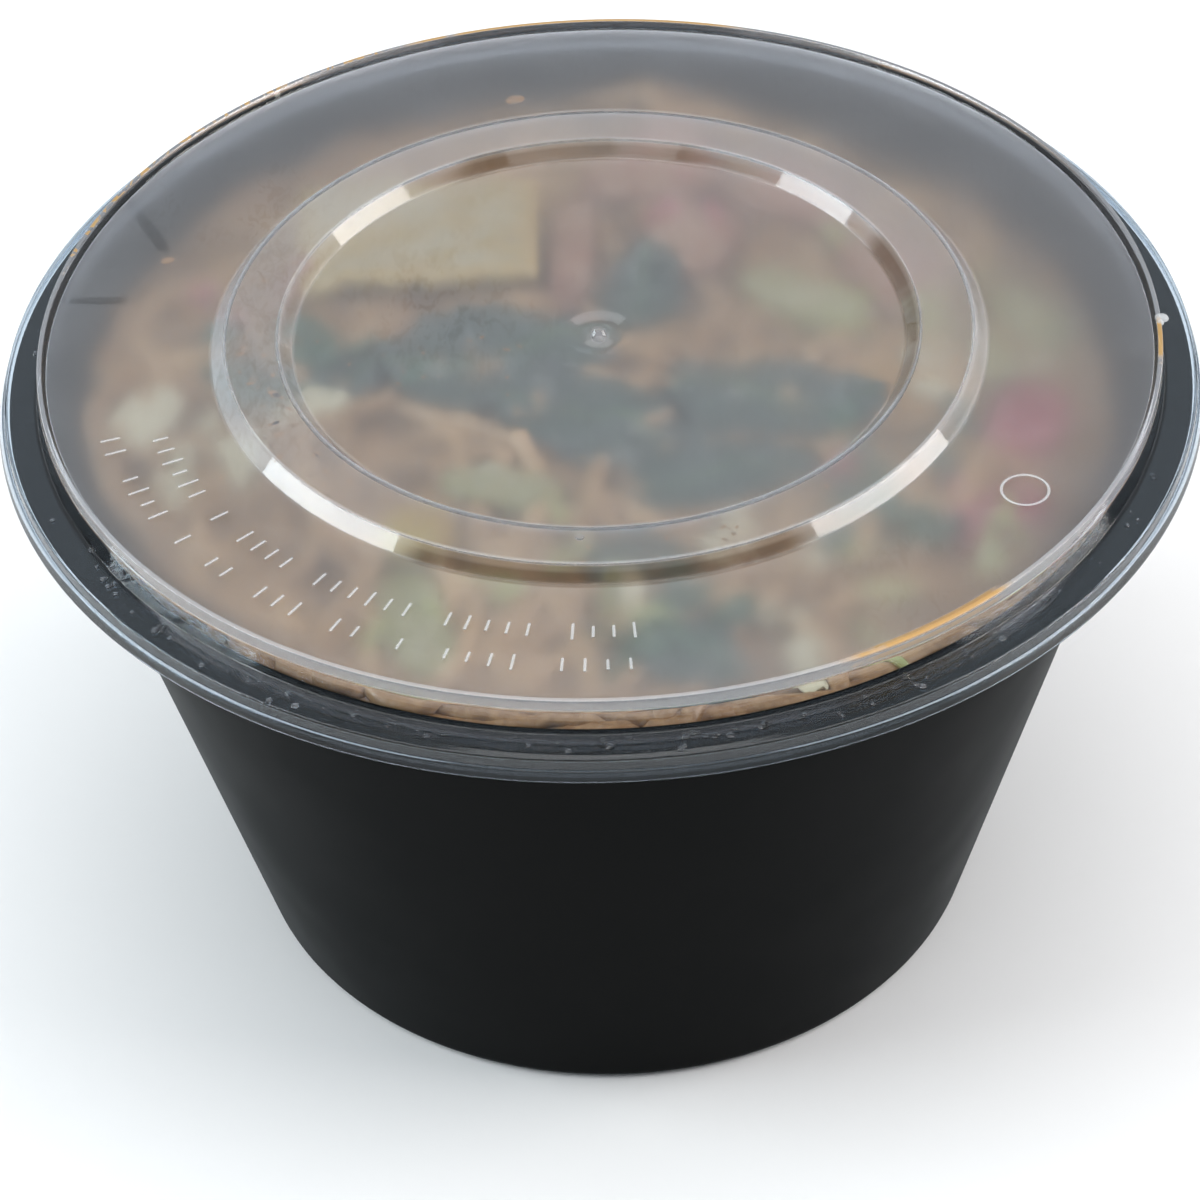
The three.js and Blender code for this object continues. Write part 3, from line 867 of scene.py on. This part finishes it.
def make_lumps(settings):
    finishes = {
        "ham": soft_finish(
            "ham", tuple(settings.ham), screen(150, 58, 66), 0.8, (1, 4, 1), edge=screen(178, 60, 62)
        ),
        "tofu": soft_finish("tofu", screen(222, 190, 140), screen(184, 138, 82), 1.0),
        "corn": soft_finish("corn", screen(214, 190, 92), screen(190, 150, 60), 0.9),
    }
    for node, (at, turn, size, number) in LUMPS.items():
        shape = Shape()
        lay_lump(shape, at, turn, size, number)
        food = node.split("_")[0]
        shape.piece(node.replace("piece", "chunk"), finishes[food], food, [node])


def fibres(u, v, x, y, seed):
    """Relief of a slice of meat."""
    return 0.18 * waves(u * 20, v * 4, 2.2, 31) + 0.25 * waves(x, y, 5, 32)


SLICES = {  # place, turn, length, width
    "meat_slice_1": ((-3.4, 27), 86, 27, 6.5),
    "meat_slice_2": ((8.5, 46), 25, 21, 14),
    "meat_slice_3": ((13, 28), 70, 19, 13),
    "meat_slice_4": ((27.5, 40), -35, 20, 12),
    "meat_slice_5": ((41, 20), -60, 20, 12),
}


def make_meat(settings):
    finish = soft_finish(
        "meat", tuple(settings.meat), screen(168, 112, 84), 0.9, (1, 5, 1), (0.32, 0.5),
        edge=screen(128, 76, 54),
    )
    renamed = ("meat_slice", "meat")
    lay_table(SLICES, 41, slice_outline, 2.1, 0.6, finish, "meat", renamed, rounds=18, relief=fibres)


STRIPS = {  # place, turn, length, width
    "cabbage_strip_1": ((28, 14.5), -35, 19, 9),
    "cabbage_strip_2": ((-13, -26.5), -12, 16, 7),
    "cabbage_strip_3": ((59, 13), -55, 15, 8),
    "cabbage_strip_4": ((53, 1.5), -80, 13, 6),
    "cabbage_strip_5": ((-24, -50), -78, 21, 8),
}

LEAVES = {  # place, turn, length, width
    "leaf_1": ((-31.5, -1.5), 35, 17, 9),
    "leaf_2": ((-13, 2), 15, 33, 22),
    "leaf_3": ((6, 17.5), 80, 19, 12),
    "leaf_4": ((1.5, -14), -20, 32, 17),
    "leaf_5": ((22.5, -8.5), -12, 30, 17),
    "leaf_6": ((15, -24), 12, 27, 12),
    "leaf_7": ((3.5, -40.5), 5, 13, 9),
    "leaf_8": ((10.5, -58), -30, 17, 12),
}


def ribs(u, v, x, y, seed):
    """Relief of a strip of cabbage."""
    return 0.2 * np.cos(v * 9) + 0.1 * waves(x, y, 3, seed)


def veins(u, v, x, y, seed):
    """Relief of a leaf."""
    return 0.5 * np.exp(-((v / 0.09) ** 2)) + 0.12 * np.cos(56 * u - 14 * np.abs(v))


def make_greens(settings):
    pale = soft_finish(
        "cabbage", tuple(settings.cabbage), screen(172, 166, 112), 1.1, (1, 4, 1), (0.3, 0.45),
        edge=screen(156, 156, 96),
    )
    renamed = ("cabbage_strip", "cabbage")
    lay_table(STRIPS, 61, slice_outline, 1.1, 0.5, pale, "cabbage", renamed, relief=ribs)
    dark = leaf_finish(screen(96, 122, 84), tuple(settings.leaf))
    renamed = ("leaf_", "green_leaf_")
    lay_table(LEAVES, 81, leaf_outline, 0.7, 0.9, dark, "leaf", renamed, relief=veins, step=0.6)


def make_scraps(settings):
    """Shreds of greens, cabbage, egg and ham scattered through the top of the noodles."""
    random = np.random.default_rng(29)
    kinds = (  # name, food, number, lengths, widths, middles and spreads of their places
        ("green_scraps", "leaf", 46, (4, 9), (2, 5), ((-38, 8, 14), (36, -24, 12), (8, -52, 9))),
        ("cabbage_scraps", "cabbage", 22, (4, 10), (1.4, 2.6), ((-14, -38, 20), (44, 20, 12), (40, -44, 14))),
        ("egg_scraps", "egg", 24, (3, 8), (2, 4.5), ((14, -48, 15), (48, 2, 12), (-42, -22, 15))),
        ("ham_scraps", "ham", 9, (3, 7), (2, 3), ((22, 42, 14), (-50, 10, 12), (44, -30, 14))),
    )
    for name, food, number, lengths, widths, places in kinds:
        shape = Shape()
        for k in range(number):
            x, y, spread = places[k % len(places)]
            at = (random.uniform(x - spread, x + spread), random.uniform(y - spread, y + spread))
            far = math.hypot(*at) / (FOOD_REACH - 6)
            if far > 1:
                at = (at[0] / far, at[1] / far)
            turn, seed = random.uniform(0, 180), int(random.integers(1000))
            size = random.uniform(*lengths), random.uniform(*widths)
            lay_sheet(shape, slice_outline, at, turn, *size, 0.8, 0.25, seed, rounds=4, step=0.9, room=2.5)
        if name == "egg_scraps":  # the pale patch at the left
            lay_sheet(shape, slice_outline, (-60, -8), 60, 12, 7, 0.8, 0.25, 3, room=4.0)
        shape.piece(name, bpy.data.materials[food], food)


# ---------- water on the lid


def cap(shape, x, y, z, size, high, stretch=1.0, turn=0.0, down=False, **values):
    """Adds one flattened drop that stands on a level face, or hangs under it."""
    rows, columns = 6, 12
    lift, around = np.meshgrid(
        np.linspace(0, np.pi / 2, rows), np.linspace(0, 2 * np.pi, columns, endpoint=False), indexing="ij"
    )
    a, b = size * stretch * np.sin(lift) * np.cos(around), size * np.sin(lift) * np.sin(around)
    px, py = x + a * math.cos(turn) - b * math.sin(turn), y + a * math.sin(turn) + b * math.cos(turn)
    pz = z + (-high if down else high) * np.cos(lift)
    flat = np.stack([x + 0 * around[0], y + 0 * around[0], z + 0 * around[0]], 1)[None]
    points = np.concatenate([np.stack([px, py, pz], 2), flat])
    shape.add(points, grid_faces(rows + 1, columns, False, True), **values)


def make_specks(settings):
    """Specks of sauce and herbs that cling to the underside of the lid."""
    random = np.random.default_rng(23)
    shape = Shape()
    under_panel, under_ridge = PANEL_Z - settings.wall, RIDGE_Z - settings.wall
    zones = (  # middle angle, its spread, least and greatest radius, height, number, largest
        (188, 16, 43.4, 48.6, under_ridge, 46, 0.4),
        (205, 10, 43.4, 48.8, under_ridge, 22, 0.45),
        (270, 24, 43.2, 48.8, under_ridge, 18, 0.28),
        (165, 24, 53.0, 66.0, under_panel, 14, 0.3),
        (200, 40, 8.0, 38.0, under_panel, 34, 0.28),
        (350, 30, 43.2, 48.8, under_ridge, 12, 0.3),
    )
    for middle, spread, low, high, z, number, largest in zones:
        for _ in range(number):
            angle, r = math.radians(random.normal(middle, spread)), random.uniform(low, high)
            size = random.uniform(0.12, largest)
            x, y = r * math.cos(angle), r * math.sin(angle)
            stretch, turn = random.uniform(1, 2.4), random.uniform(0, math.pi)
            cap(shape, x, y, z - 0.05, size, 0.12, stretch, turn, down=True)
    for x, y, size in ((-58.3, 20.1, 0.75), (-34, 28, 0.5), (-10.8, 56.2, 1.1)):
        cap(shape, x, y, under_panel - 0.05, size, 0.2, 1.3, 0.4, down=True)
    shape.piece("sauce_specks", sauce_finish(), "lid_plastic", sharp=80)


def make_drops(settings):
    """Water on the ledge round the lid, and one drop on its ridge."""
    random = np.random.default_rng(19)
    shape = Shape()
    spots = [(-3.2, -44.4, RIDGE_Z, 0.6), (-64.8, -36.9, LEDGE_Z, 0.7), (35.7, -66.1, LEDGE_Z, 0.7)]
    for _ in range(settings.drops):
        angle = math.radians(random.normal(-95, 42))
        r = min(75.4 + abs(random.normal(0, 1.3)), 78.3)
        size = random.uniform(0.18, settings.largest)
        spots.append((r * math.cos(angle), r * math.sin(angle), LEDGE_Z, size))
    for x, y, z, size in spots:
        cap(shape, x, y, z - 0.04, size, size * random.uniform(0.35, 0.55))
    shape.piece("water_drops", water_finish(), "lid_plastic", sharp=80)


# ---------- studio


def camera_turn(pitch, yaw, roll, elevation):
    """Rotation of the camera that looks from an elevation, then turned by its own small angles."""
    up = Vector((0, math.sin(elevation), math.cos(elevation)))
    ahead = Vector((0, math.cos(elevation), -math.sin(elevation)))
    level = Matrix(((1, 0, 0), tuple(-up), tuple(ahead)))
    turned_by = Matrix.Rotation(roll, 3, "Z") @ Matrix.Rotation(pitch, 3, "X") @ Matrix.Rotation(yaw, 3, "Y")
    rows = turned_by @ level
    return Matrix((rows[0], -rows[1], -rows[2])).transposed()


def add_lamp(name, direction, distance, width, height, power, colour):
    """Soft box that looks at the bowl from a direction."""
    lamp = bpy.data.lights.new(name, "AREA")
    lamp.shape = "RECTANGLE"
    lamp.size, lamp.size_y = width, height
    lamp.energy = power
    lamp.color = colour
    thing = bpy.data.objects.new(name, lamp)
    aim = Vector(direction).normalized()
    thing.location = Vector((0, 0, PANEL_Z * MM)) + aim * distance
    thing.rotation_euler = aim.to_track_quat("Z", "Y").to_euler()
    bpy.context.scene.collection.objects.link(thing)


def make_stage(settings):
    scene = bpy.context.scene
    scene.view_settings.view_transform = "Standard"
    scene.cycles.max_bounces = 7
    scene.cycles.diffuse_bounces = 1
    scene.cycles.glossy_bounces = 2
    scene.cycles.transmission_bounces = 7
    scene.cycles.caustics_reflective = False
    scene.cycles.caustics_refractive = False  # the lid lets the lamps' light through by itself
    # keeps a full render under five minutes
    scene.cycles.adaptive_threshold = 0.3  # pixels stop sampling early, which keeps the render quick
    world = bpy.data.worlds.new("studio")
    world.use_nodes = True
    tree = world.node_tree
    high = tree.nodes.new("ShaderNodeSeparateXYZ")
    tree.links.new(tree.nodes.new("ShaderNodeTexCoord").outputs["Generated"], high.inputs[0])
    fade = tree.nodes.new("ShaderNodeMapRange")
    fade.interpolation_type = "SMOOTHSTEP"
    for socket, number in zip(fade.inputs[1:5], (0.02, 0.3, settings.horizon, settings.sky_strength)):
        socket.default_value = number
    tree.links.new(high.outputs["Z"], fade.inputs[0])
    tree.links.new(fade.outputs[0], tree.nodes["Background"].inputs["Strength"])
    tree.nodes["Background"].inputs["Color"].default_value = (*settings.sky, 1)
    scene.world = world
    mesh = bpy.data.meshes.new("floor")
    work = bmesh.new()
    bmesh.ops.create_grid(work, x_segments=8, y_segments=8, size=settings.floor_side / 2)
    work.to_mesh(mesh)
    work.free()
    mesh.materials.append(floor_finish(tuple(settings.floor), (0.5, 0.45 * settings.floor_side)))
    floor = bpy.data.objects.new("floor", mesh)
    floor.location.z = -0.0002
    scene.collection.objects.link(floor)
    add_lamp("box_left", (-0.85, -0.08, 0.47), 0.95, 0.62, 0.42, settings.lamp, (0.88, 0.97, 1.0))
    add_lamp("box_right", (0.82, -0.06, 0.44), 0.95, 0.66, 0.44, settings.lamp, (1.0, 0.955, 0.925))
    top = bpy.data.lights.new("top_light", "SUN")
    top.energy, top.angle = settings.top_light, math.radians(80)
    scene.collection.objects.link(bpy.data.objects.new("top_light", top))
    lens = bpy.data.cameras.new("view")
    lens.sensor_width = SENSOR
    lens.lens = settings.focal * SENSOR / PHOTO_SIDE
    lens.clip_start, lens.clip_end = 0.01, 100
    camera = bpy.data.objects.new("view", lens)
    elevation = settings.elevation
    back = Vector((0, -math.cos(elevation), math.sin(elevation))) * settings.distance
    turn = camera_turn(settings.pitch, settings.yaw, settings.roll, elevation)
    camera.matrix_world = Matrix.Translation(Vector((0, 0, EDGE_Z * MM)) + back) @ turn.to_4x4()
    scene.collection.objects.link(camera)
    scene.camera = camera


# ---------- settings


def colour_property(name, description, default):
    return bpy.props.FloatVectorProperty(
        name=name, description=description, subtype="COLOR", size=3, min=0, max=1, default=default
    )


class BowlSettings(bpy.types.PropertyGroup):
    wall: bpy.props.FloatProperty(
        name="Wall", description="Thickness of the wall in millimetres", default=BOWL_WALL, min=0.6,
        max=1.5,
    )
    colour: colour_property("Colour", "Colour of the black plastic", (0.002, 0.0023, 0.0023))
    roughness: bpy.props.FloatProperty(
        name="Roughness", description="How matte the plastic is", subtype="FACTOR", default=0.42, min=0, max=1
    )


class LidSettings(bpy.types.PropertyGroup):
    wall: bpy.props.FloatProperty(
        name="Wall", description="Thickness of the lid in millimetres", default=LID_WALL, min=0.5,
        max=1.2,
    )
    colour: colour_property("Colour", "Tint of the see-through plastic", (0.79, 0.81, 0.86))
    haze: bpy.props.FloatProperty(
        name="Haze", description="Share of the light that the fogged plastic scatters back", subtype="FACTOR",
        default=0.062, min=0, max=1,
    )
    blur: bpy.props.FloatProperty(
        name="Blur", description="How much the fog blurs the food", subtype="FACTOR",
        default=0.5, min=0, max=1,
    )


class NoodleSettings(bpy.types.PropertyGroup):
    strands: bpy.props.IntProperty(
        name="Strands", description="Number of noodles on the top", default=210, min=20, max=400,
    )
    width: bpy.props.FloatProperty(
        name="Width", description="Width of a noodle in millimetres", default=2.8, min=1, max=6,
    )
    colour: colour_property("Colour", "Colour of a noodle in sauce", screen(206, 170, 126))


class ToppingSettings(bpy.types.PropertyGroup):
    egg: colour_property("Egg", "Colour of the egg slab", screen(212, 196, 160))
    meat: colour_property("Meat", "Colour of the meat slices", screen(200, 167, 141))
    leaf: colour_property("Leaf", "Colour of the dark leaves", screen(50, 64, 57))
    cabbage: colour_property("Cabbage", "Colour of the cabbage strips", screen(196, 190, 154))
    ham: colour_property("Ham", "Colour of the ham pieces", screen(204, 134, 138))


class WaterSettings(bpy.types.PropertyGroup):
    drops: bpy.props.IntProperty(
        name="Drops", description="Number of drops on the ledge", default=90, min=0, max=300,
    )
    largest: bpy.props.FloatProperty(
        name="Largest", description="Radius of the largest drop in millimetres", default=0.6, min=0.1,
        max=1.5,
    )


class StageSettings(bpy.types.PropertyGroup):
    floor: colour_property("Floor", "Colour of the floor", (0.82, 0.82, 0.82))
    floor_side: bpy.props.FloatProperty(
        name="Floor side", description="Width of the floor", unit="LENGTH", default=8.0,
    )
    sky: colour_property("Sky", "Colour of the light from all round", (0.86, 0.93, 1.0))
    sky_strength: bpy.props.FloatProperty(
        name="Sky strength", description="Light from all round", default=0.42, min=0,
    )
    horizon: bpy.props.FloatProperty(
        name="Horizon", description="Brightness of the backdrop", default=0.78, min=0,
    )
    top_light: bpy.props.FloatProperty(
        name="Top light", description="Strength of the light from above", default=2.1, min=0,
    )
    lamp: bpy.props.FloatProperty(
        name="Lamp power", description="Power of a soft box", unit="POWER", default=6.0, min=0,
    )
    focal: bpy.props.FloatProperty(
        name="Focal length", description="Focal length in pixels of the picture", default=4246.5,
    )
    distance: bpy.props.FloatProperty(
        name="Distance", description="From the lid to the camera", unit="LENGTH", default=0.562358,
    )
    elevation: bpy.props.FloatProperty(
        name="Elevation", description="Height of the view over the horizon", unit="ROTATION",
        default=0.64492,
    )
    pitch: bpy.props.FloatProperty(
        name="Pitch", description="Turn of the view up or down", unit="ROTATION", default=0.06444,
    )
    yaw: bpy.props.FloatProperty(
        name="Yaw", description="Turn of the view sideways", unit="ROTATION", default=0.00182,
    )
    roll: bpy.props.FloatProperty(
        name="Roll", description="Turn of the view about its axis", unit="ROTATION", default=-0.03387,
    )


# ---------- operators


class LUNCH_OT_stage(bpy.types.Operator):
    """Floor, studio light and camera"""

    bl_idname = "lunch.stage"
    bl_label = "Stage"

    def execute(self, context):
        make_stage(context.scene.lunch_stage)
        return {"FINISHED"}


class LUNCH_OT_bowl(bpy.types.Operator):
    """Black bowl with its foot and rim"""

    bl_idname = "lunch.bowl"
    bl_label = "Bowl"

    def execute(self, context):
        make_bowl(context.scene.lunch_bowl)
        return {"FINISHED"}


class LUNCH_OT_lid(bpy.types.Operator):
    """See-through lid with its ridge and skirt"""

    bl_idname = "lunch.lid"
    bl_label = "Lid"

    def execute(self, context):
        make_lid(context.scene.lunch_lid)
        return {"FINISHED"}


class LUNCH_OT_marks(bpy.types.Operator):
    """Plain raised ticks, a ring and a blob on the lid"""

    bl_idname = "lunch.marks"
    bl_label = "Lid marks"

    def execute(self, context):
        make_marks(context.scene.lunch_lid)
        return {"FINISHED"}


class LUNCH_OT_noodles(bpy.types.Operator):
    """Bed of noodles"""

    bl_idname = "lunch.noodles"
    bl_label = "Noodles"

    def execute(self, context):
        make_noodles(context.scene.lunch_noodles)
        return {"FINISHED"}


class LUNCH_OT_egg(bpy.types.Operator):
    """Slab of egg"""

    bl_idname = "lunch.egg"
    bl_label = "Egg"

    def execute(self, context):
        make_egg(context.scene.lunch_toppings)
        return {"FINISHED"}


class LUNCH_OT_lumps(bpy.types.Operator):
    """Tofu, ham and corn"""

    bl_idname = "lunch.lumps"
    bl_label = "Lumps"

    def execute(self, context):
        make_lumps(context.scene.lunch_toppings)
        return {"FINISHED"}


class LUNCH_OT_meat(bpy.types.Operator):
    """Slices of meat"""

    bl_idname = "lunch.meat"
    bl_label = "Meat"

    def execute(self, context):
        make_meat(context.scene.lunch_toppings)
        return {"FINISHED"}


class LUNCH_OT_greens(bpy.types.Operator):
    """Cabbage strips and dark leaves"""

    bl_idname = "lunch.greens"
    bl_label = "Greens"

    def execute(self, context):
        make_greens(context.scene.lunch_toppings)
        return {"FINISHED"}


class LUNCH_OT_scraps(bpy.types.Operator):
    """Shreds scattered over the noodles"""

    bl_idname = "lunch.scraps"
    bl_label = "Scraps"

    def execute(self, context):
        make_scraps(context.scene.lunch_toppings)
        return {"FINISHED"}


class LUNCH_OT_specks(bpy.types.Operator):
    """Specks of sauce under the lid"""

    bl_idname = "lunch.specks"
    bl_label = "Specks"

    def execute(self, context):
        make_specks(context.scene.lunch_lid)
        return {"FINISHED"}


class LUNCH_OT_drops(bpy.types.Operator):
    """Drops of water on the lid"""

    bl_idname = "lunch.drops"
    bl_label = "Water"

    def execute(self, context):
        make_drops(context.scene.lunch_water)
        return {"FINISHED"}


OPERATORS = (
    LUNCH_OT_stage,
    LUNCH_OT_bowl,
    LUNCH_OT_lid,
    LUNCH_OT_marks,
    LUNCH_OT_noodles,
    LUNCH_OT_egg,
    LUNCH_OT_lumps,
    LUNCH_OT_meat,
    LUNCH_OT_greens,
    LUNCH_OT_scraps,
    LUNCH_OT_specks,
    LUNCH_OT_drops,
)

GROUPS = {
    "lunch_stage": StageSettings,
    "lunch_bowl": BowlSettings,
    "lunch_lid": LidSettings,
    "lunch_noodles": NoodleSettings,
    "lunch_toppings": ToppingSettings,
    "lunch_water": WaterSettings,
}


class LUNCH_PT_panel(bpy.types.Panel):
    """Lists every step with its settings."""

    bl_label = "Lidded Noodle Bowl"
    bl_space_type = "VIEW_3D"
    bl_region_type = "UI"
    bl_category = "Bowl"

    def draw(self, context):
        for step in OPERATORS:
            self.layout.operator(step.bl_idname)
        for group in GROUPS:
            box = self.layout.box()
            settings = getattr(context.scene, group)
            for key in settings.bl_rna.properties.keys()[2:]:
                box.prop(settings, key)


def register():
    for made in (*GROUPS.values(), *OPERATORS, LUNCH_PT_panel):
        bpy.utils.register_class(made)
    for name, group in GROUPS.items():
        setattr(bpy.types.Scene, name, bpy.props.PointerProperty(type=group))


def unregister():
    for name in GROUPS:
        delattr(bpy.types.Scene, name)
    for made in reversed((*GROUPS.values(), *OPERATORS, LUNCH_PT_panel)):
        bpy.utils.unregister_class(made)


def main():
    register()
    for step in OPERATORS:
        name = step.bl_idname.split(".")[1]
        getattr(bpy.ops.lunch, name)()


if __name__ == "__main__":
    main()
